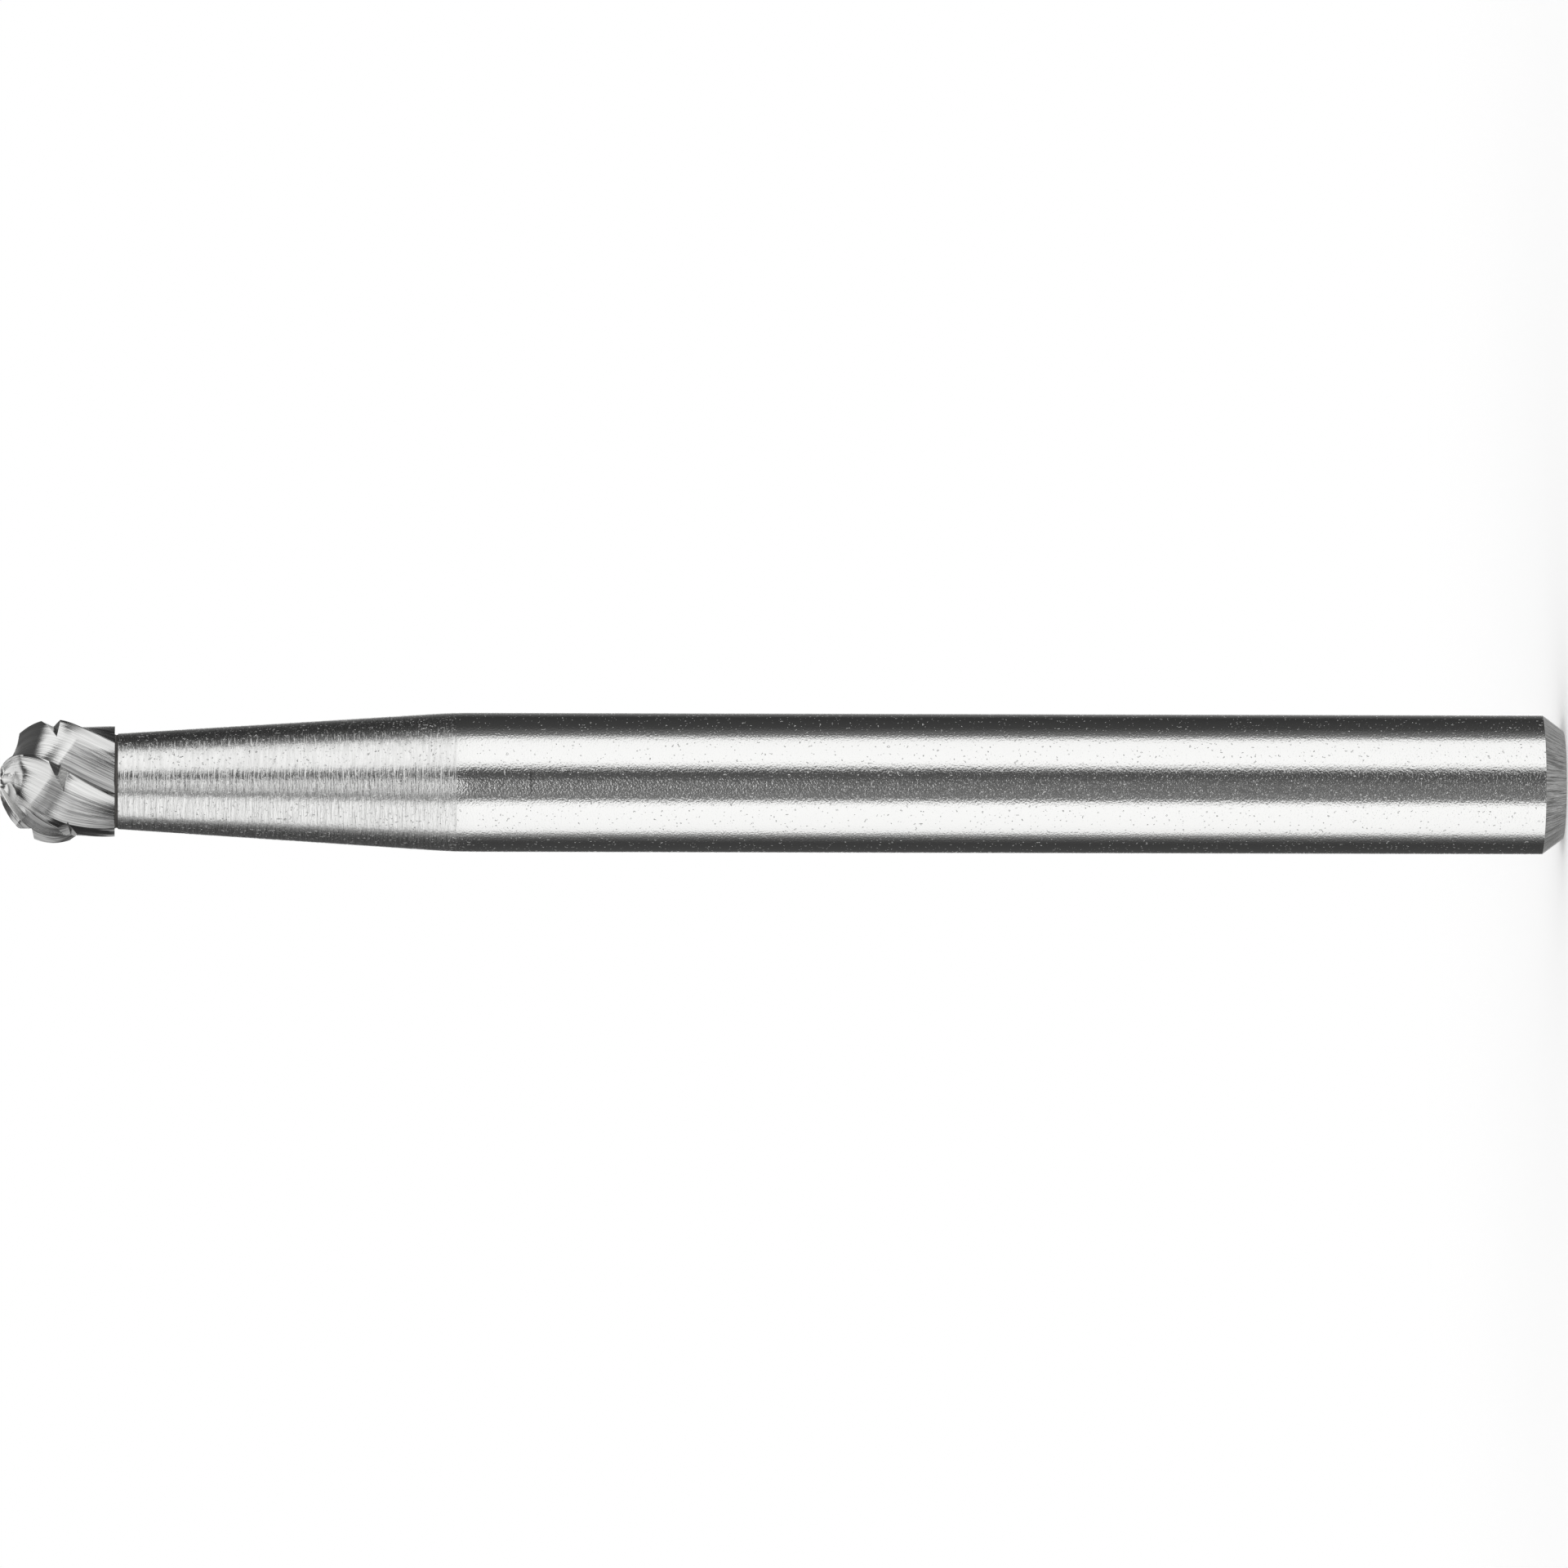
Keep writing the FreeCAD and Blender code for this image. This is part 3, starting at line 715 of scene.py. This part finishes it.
    # The chip breaker's cutter: an uneven V that winds round the ball, shut at both ends.
    bar = add_node(tree, "GeometryNodeMeshGrid", {"Size X": 1.0, "Size Y": 1.0, "Vertices X": 4,
                                                  "Vertices Y": CHIP_ROWS + 1})
    work_out(tree, v, (
        ("corner float", "*", "column share", 3.0), ("corner", "ROUND", "corner float"),
        ("is rear", "COMPARE", "corner", 1.0, WHOLE),
        ("is front", "COMPARE", "corner", 2.0, WHOLE), ("is outer", "+", "is rear", "is front"),
        ("station float", "*", "row share", float(CHIP_ROWS)),
        ("station", "ROUND", "station float"), ("station in", "-", "station", 1.0),
        ("station low", "MAXIMUM", "station in", 0.0),
        ("station held", "MINIMUM", "station low", float(CHIP_ROWS - 2)),
        ("station share", "/", "station held", float(CHIP_ROWS - 2)),
        ("is first", "COMPARE", "station", 0.0, WHOLE),
        ("is last", "COMPARE", "station", float(CHIP_ROWS), WHOLE),
        ("is end", "+", "is first", "is last"), ("is open", "-", 1.0, "is end"),
        ("groove turn part", "*", "station share", CHIP_LAST - CHIP_FIRST),
        ("groove turn", "+", "groove turn part", CHIP_FIRST),
        ("from first", "-", "groove turn", CHIP_FIRST),
        ("to last", "-", CHIP_LAST, "groove turn"),
        ("from end", "MINIMUM", "from first", "to last"),
    ))
    sunk = add_node(tree, "ShaderNodeMapRange", {"Value": v["from end"], "From Max": CHIP_RUN,
                                                 "To Min": -CHIP_RUNOUT},
                    interpolation_type="SMOOTHSTEP")
    v["sunk"] = sunk.outputs[0]
    work_out(tree, v, (
        ("groove depth", "*", "sunk", "Chip Depth"), ("lift", "*", "Chip Depth", CHIP_OVERRUN),
        ("lift and depth", "+", "lift", "groove depth"),
        ("rise of corner", "*", "is outer", "lift and depth"),
        ("rise held", "*", "rise of corner", "is open"),
        ("out", "-", "rise held", "groove depth"), ("front part", "*", "is front", "Chip Front"),
        ("rear part", "*", "is rear", "Chip Rear"),
        ("both parts", "-", "front part", "rear part"),
        ("reached", "*", "both parts", 1 + CHIP_OVERRUN),
        ("along ball", "*", "reached", "is open"), ("groove turns", "/", "groove turn", 360.0),
        ("groove climb", "*", "groove turns", "Chip Lead"),
        ("groove start", "+", "Rear Height", "Chip Height"),
        ("groove height", "+", "groove start", "groove climb"),
        ("groove over centre", "-", "groove height", "ball centre"),
        ("rise", "/", "groove over centre", "Ball Radius"), ("rise square", "*", "rise", "rise"),
        ("fall square", "-", 1.0, "rise square"), ("fall", "SQRT", "fall square"),
        ("out r", "+", "Ball Radius", "out"),
        ("t1", "*", "out r", "fall"), ("t2", "*", "along ball", "rise"),
        ("groove r", "-", "t1", "t2"),
        ("t3", "*", "out r", "rise"), ("t4", "*", "along ball", "fall"),
        ("t5", "+", "t3", "t4"), ("groove z", "+", "ball centre", "t5"),
        ("groove degrees", "-", "groove turn", CHIP_FRONT_TURN),
        ("groove angle", "RADIANS", "groove degrees"),
    ))
    add_polar(tree, v, "groove", "groove r", "groove angle")
    bar_place = add_node(tree, "ShaderNodeCombineXYZ", [v["groove x"], v["groove y"],
                                                        v["groove z"]])
    wound = add_node(tree, "GeometryNodeSetPosition", {"Geometry": bar.outputs["Mesh"],
                                                       "Position": bar_place.outputs[0]})
    cutter = add_node(tree, "GeometryNodeMergeByDistance", {"Geometry": wound.outputs[0],
                                                            "Distance": MERGE_DISTANCE})
    cutter_out = add_node(tree, "GeometryNodeFlipFaces", [cutter.outputs[0]])
    cut = add_node(tree, "GeometryNodeMeshBoolean", {"Mesh 1": outward.outputs[0],
                                                     "Mesh 2": cutter_out.outputs[0]},
                   operation="DIFFERENCE", solver="EXACT")
    real = add_node(tree, "GeometryNodeRealizeInstances", [cut.outputs[0]])
    painted = add_node(tree, "GeometryNodeSetMaterial", {"Geometry": real.outputs[0],
                                                         "Material": given.outputs["Material"]})
    add_node(tree, "NodeGroupOutput", [painted.outputs[0]])
    return tree


class BURR_OT_head(bpy.types.Operator):
    """Grow the carbide head, its helical teeth and its chip breaker with geometry nodes"""
    bl_idname = "burr.head"
    bl_label = "Carbide Head"

    def execute(self, context):
        sizes = context.scene.burr_sizes
        material = carbide_material()
        tree = head_tree()
        given = {name: getattr(sizes, size) for name, size in HEAD_SIZES.items()}
        given.update({"Rear Height": HEAD_LOW.z, "Tip Height": HEAD_HIGH.z, "Material": material})
        maker = add_object("head_maker", bpy.data.meshes.new("head_maker"))
        modifier = maker.modifiers.new("burr_head", "NODES")
        modifier.node_group = tree
        for item in tree.interface.items_tree:
            if item.in_out == "INPUT":
                modifier[item.identifier] = given[item.name]
        context.view_layer.update()
        evaluated = maker.evaluated_get(context.evaluated_depsgraph_get())
        mesh = bpy.data.meshes.new_from_object(evaluated)
        maker.modifiers.clear()
        bpy.data.objects.remove(maker)
        if len(mesh.polygons) < HEAD_ROWS:
            raise RuntimeError("the head's teeth were not made")
        mesh.name = "cutting_head"
        mesh.shade_smooth()
        mesh.set_sharp_from_angle(angle=SHARP_ANGLE)
        piece = add_object("cutting_head", mesh)
        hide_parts("carbide_head")
        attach(piece, "root")
        return {"FINISHED"}


# The photograph's view: the camera's distance, the width of its frame at the tool's axis, its
# small turns, and the point that it looks at.
CAMERA_DISTANCE = 394 * MM
FRAME_WIDTH = 33.60 * MM
CAMERA_TILT = math.radians(0.14)
CAMERA_YAW = math.radians(-1.8)
CAMERA_AIM = Vector((-0.022 * MM, 0.0, 16.72 * MM))
# The floor: half its side in metres, the share of light that it gives off itself to what sees
# it, and how far from the tool it starts to turn white and is white.
FLOOR_SIDE = 3.0
FLOOR_LIFT = 0.1
FLOOR_LIT, FLOOR_WHITE = 12 * MM, 45 * MM

# The tool stands in a light tent of cloth, part lit through and part dark, that only shiny
# surfaces see. Each belt gives the tent's brightness from one elevation to the next, in degrees
# up from level, as stops: degrees from the camera's direction, towards +X, and brightness.
TENT_RADIUS = 1.0
TENT_SIDES = 64
# The brightness that the ramps are shares of, and half the width of a border, in degrees.
TENT_PEAK = 1.6
TENT_FADE = 2.5
TENT_ELEVATIONS = (-62.0, -38.0, -9.5, 4.5, 15.5, 39.5)
TENT_BELTS = (
    # The lowest belt, under the tool.
    ((-180, 0.3), (-90, 0.5), (-40, 0.9), (0, 1.15), (30, 0.9), (90, 0.4), (180, 0.3)),
    # Two belts below level, which the undersides of the teeth show.
    ((-180, 0.4), (-120, 0.15), (-90, 0.3), (-62, 0.3), (-50, 1.2), (-22, 1.2), (-14, 0.12),
     (60, 0.08), (90, 0.3), (120, 0.2), (150, 1.0), (180, 0.6)),
    ((-180, 0.4), (-120, 0.7), (-104, 0.1), (-90, 1.1), (86, 1.1), (95, 0.3), (108, 0.9),
     (145, 0.9), (160, 0.4), (180, 0.4)),
    # The level belt, which the straight shank shows as its bands.
    ((-169, 1.4), (-164, 0.1), (-140, 0.08), (-115, 0.07), (-104, 0.14), (-98, 0.35),
     (-93, 0.5), (-90, 1.4), (-74, 1.55), (-36, 1.6), (-31, 1.35), (-28, 0.4), (-25, 0.13),
     (-22.5, 0.24), (-19, 0.3), (-15.5, 0.23), (-13.3, 0.12), (-11, 0.22), (-4, 0.2), (4, 0.15),
     (18, 0.1), (23, 0.22), (28, 1.3), (34, 1.6), (70, 1.55), (79, 1.4), (82.5, 0.35),
     (89, 0.22), (102, 0.08), (140, 0.05), (162, 0.3), (169, 1.4)),
    # The belt that the tapered neck shows as its bands.
    ((-170, 1.3), (-165, 0.2), (-150, 0.14), (-128, 0.11), (-112, 0.18), (-100, 0.5),
     (-89, 1.0), (-78, 1.35), (-40, 1.45), (-34, 0.5), (-27, 0.06), (-20, 1.0), (-4, 1.6),
     (3, 1.4), (8, 0.2), (12, 0.05), (17, 0.2), (24, 1.35), (55, 1.45), (68, 1.25), (78, 0.55),
     (88, 0.17), (99, 0.1), (112, 0.05), (127, 0.04), (148, 0.15), (165, 0.2), (170, 1.3)),
    # Two belts that the ball and its tip show.
    ((-180, 0.5), (-140, 0.5), (-126, 0.7), (-116, 0.1), (-100, 0.1), (-91, 0.7), (-30, 0.75),
     (0, 0.9), (18, 1.4), (98, 1.55), (108, 0.1), (180, 0.15)),
    ((-180, 1.2), (-157, 0.7), (-146, 0.2), (-135, 1.4), (-118, 1.3), (-110, 0.1), (-88, 0.12),
     (-74, 1.45), (-5, 1.3), (20, 0.12), (60, 0.05), (145, 0.2), (165, 1.0), (180, 1.4)),
)


def tent_material():
    """White cloth that glows by its belts: bright where it is lit through, and dark elsewhere."""
    material = bpy.data.materials.new("tent_cloth")
    material.use_nodes = True
    # Only rays that a surface sends out find the tent. It adds no light of its own.
    material.cycles.emission_sampling = "NONE"
    tree = material.node_tree
    tree.nodes.clear()
    _, v = object_place(tree)
    work_out(tree, v, (
        ("towards camera", "*", "y", -1.0),
        ("azimuth", "ARCTAN2", "x", "towards camera"),
        ("azimuth turns", "/", "azimuth", math.tau),
        ("azimuth share", "+", "azimuth turns", 0.5),
        ("up share", "/", "z", TENT_RADIUS),
        ("elevation", "ARCSINE", "up share"),
    ))
    fade = math.radians(TENT_FADE)
    glow = None
    for index, stops in enumerate(TENT_BELTS):
        belt = add_node(tree, "ShaderNodeValToRGB", [v["azimuth share"]])
        points = belt.color_ramp.elements
        while len(points) < len(stops):
            points.new(1.0)
        for point, (degrees, level) in zip(points, stops):
            point.position = degrees / 360 + 0.5
            point.color = (*[level / TENT_PEAK] * 3, 1.0)
        if glow is None:
            glow = belt.outputs[0]
            continue
        border = math.radians(TENT_ELEVATIONS[index - 1])
        above = add_node(tree, "ShaderNodeMapRange",
                         {"Value": v["elevation"], "From Min": border - fade,
                          "From Max": border + fade}, interpolation_type="SMOOTHSTEP")
        mix = add_node(tree, "ShaderNodeMix", {0: above.outputs[0], 6: glow, 7: belt.outputs[0]},
                       data_type="RGBA")
        glow = mix.outputs[2]
    shine = add_node(tree, "ShaderNodeEmission", {"Color": glow, "Strength": TENT_PEAK})
    add_node(tree, "ShaderNodeOutputMaterial", {"Surface": shine.outputs[0]})
    return material


def make_tent():
    """A ball of cloth round the tool, out of the camera's sight and with no shadow."""
    mesh = bpy.data.meshes.new("light_tent")
    form = bmesh.new()
    bmesh.ops.create_uvsphere(form, u_segments=TENT_SIDES, v_segments=TENT_SIDES // 2,
                              radius=TENT_RADIUS)
    form.to_mesh(mesh)
    form.free()
    mesh.materials.append(tent_material())
    tent = add_object("light_tent", mesh)
    tent.visible_camera = False
    tent.visible_diffuse = False
    tent.visible_transmission = False
    tent.visible_shadow = False


class BURR_OT_studio(bpy.types.Operator):
    """Set up the floor, the soft light and the camera"""
    bl_idname = "burr.studio"
    bl_label = "Studio"

    def execute(self, context):
        scene = context.scene
        scene.view_settings.view_transform = "Standard"

        world = bpy.data.worlds.new("studio")
        scene.world = world
        world.use_nodes = True
        world.cycles.sampling_method = "NONE"
        tree = world.node_tree
        tree.nodes.clear()
        white = add_node(tree, "ShaderNodeBackground", {"Color": (1, 1, 1, 1), "Strength": 1.0})
        add_node(tree, "ShaderNodeOutputWorld", [white.outputs[0]])
        make_tent()

        mesh = bpy.data.meshes.new("floor")
        side = FLOOR_SIDE
        mesh.from_pydata([(-side, -side, 0), (side, -side, 0), (side, side, 0), (-side, side, 0)],
                         [], [(0, 1, 2, 3)])
        material, tree, shader, output = new_material("pale_floor")
        shader.inputs["Base Color"].default_value = scene.burr_colours.floor
        shader.inputs["Roughness"].default_value = 0.9
        # Near the tool the floor is lit, with its shadow. Further off it turns as white as the
        # background to what sees it.
        path = add_node(tree, "ShaderNodeLightPath").outputs
        place = add_node(tree, "ShaderNodeTexCoord").outputs["Object"]
        away = add_node(tree, "ShaderNodeVectorMath", [place], operation="LENGTH")
        far = add_node(tree, "ShaderNodeMapRange", {"Value": away.outputs["Value"],
                                                    "From Min": FLOOR_LIT,
                                                    "From Max": FLOOR_WHITE},
                       interpolation_type="SMOOTHSTEP")
        v = {"camera": path["Is Camera Ray"], "glossy": path["Is Glossy Ray"],
             "through": path["Is Transmission Ray"], "far": far.outputs[0]}
        work_out(tree, v, (
            ("camera or glossy", "MAXIMUM", "camera", "glossy"),
            ("seen", "MAXIMUM", "camera or glossy", "through"),
            ("white share", "*", "far", "seen"),
            ("lift", "*", "seen", FLOOR_LIFT),
        ))
        glow = add_node(tree, "ShaderNodeEmission", {"Strength": v["lift"]})
        lit = add_node(tree, "ShaderNodeAddShader", [shader.outputs[0], glow.outputs[0]])
        white = add_node(tree, "ShaderNodeEmission", {"Strength": 1.0})
        floor_mix = add_node(tree, "ShaderNodeMixShader", [v["white share"], lit.outputs[0],
                                                           white.outputs[0]])
        tree.links.new(floor_mix.outputs[0], output.inputs["Surface"])
        mesh.materials.append(material)
        floor = add_object("floor", mesh)
        floor.visible_glossy = False

        camera_data = bpy.data.cameras.new("camera")
        camera_data.sensor_width = 36.0
        camera_data.lens = CAMERA_DISTANCE * camera_data.sensor_width / FRAME_WIDTH
        camera_data.clip_start = 0.01
        camera = add_object("camera", camera_data)
        # The picture lies on its side: its right is down to the floor, and its top is +X. The
        # camera stands a little towards the head, and the tool slopes a little down to its end.
        look = Matrix(((0, 1, 0), (0, 0, -1), (-1, 0, 0))).to_4x4()
        turn = Matrix.Rotation(CAMERA_YAW, 4, "X") @ Matrix.Rotation(-CAMERA_TILT, 4, "Y")
        back = Matrix.Translation(Vector((0, -CAMERA_DISTANCE, 0)))
        camera.matrix_world = Matrix.Translation(CAMERA_AIM) @ turn @ back @ look
        scene.camera = camera
        return {"FINISHED"}


class BURR_PT_panel(bpy.types.Panel):
    bl_idname = "BURR_PT_panel"
    bl_label = "Carbide Burr"
    bl_space_type = "VIEW_3D"
    bl_region_type = "UI"
    bl_category = "Carbide Burr"

    def draw(self, context):
        layout = self.layout
        for operator in OPERATORS:
            layout.operator(operator.bl_idname)
        for group in (context.scene.burr_sizes, context.scene.burr_colours):
            for name in group.__annotations__:
                layout.prop(group, name)


OPERATORS = (BURR_OT_shank, BURR_OT_braze, BURR_OT_head, BURR_OT_studio)
CLASSES = (BurrSizes, BurrColours, *OPERATORS, BURR_PT_panel)


def register():
    for item in CLASSES:
        bpy.utils.register_class(item)
    bpy.types.Scene.burr_sizes = PointerProperty(type=BurrSizes)
    bpy.types.Scene.burr_colours = PointerProperty(type=BurrColours)


def unregister():
    del bpy.types.Scene.burr_colours
    del bpy.types.Scene.burr_sizes
    for item in reversed(CLASSES):
        bpy.utils.unregister_class(item)


def main():
    register()
    bpy.ops.burr.shank()
    bpy.ops.burr.braze()
    bpy.ops.burr.head()
    bpy.ops.burr.studio()


if __name__ == "__main__":
    main()
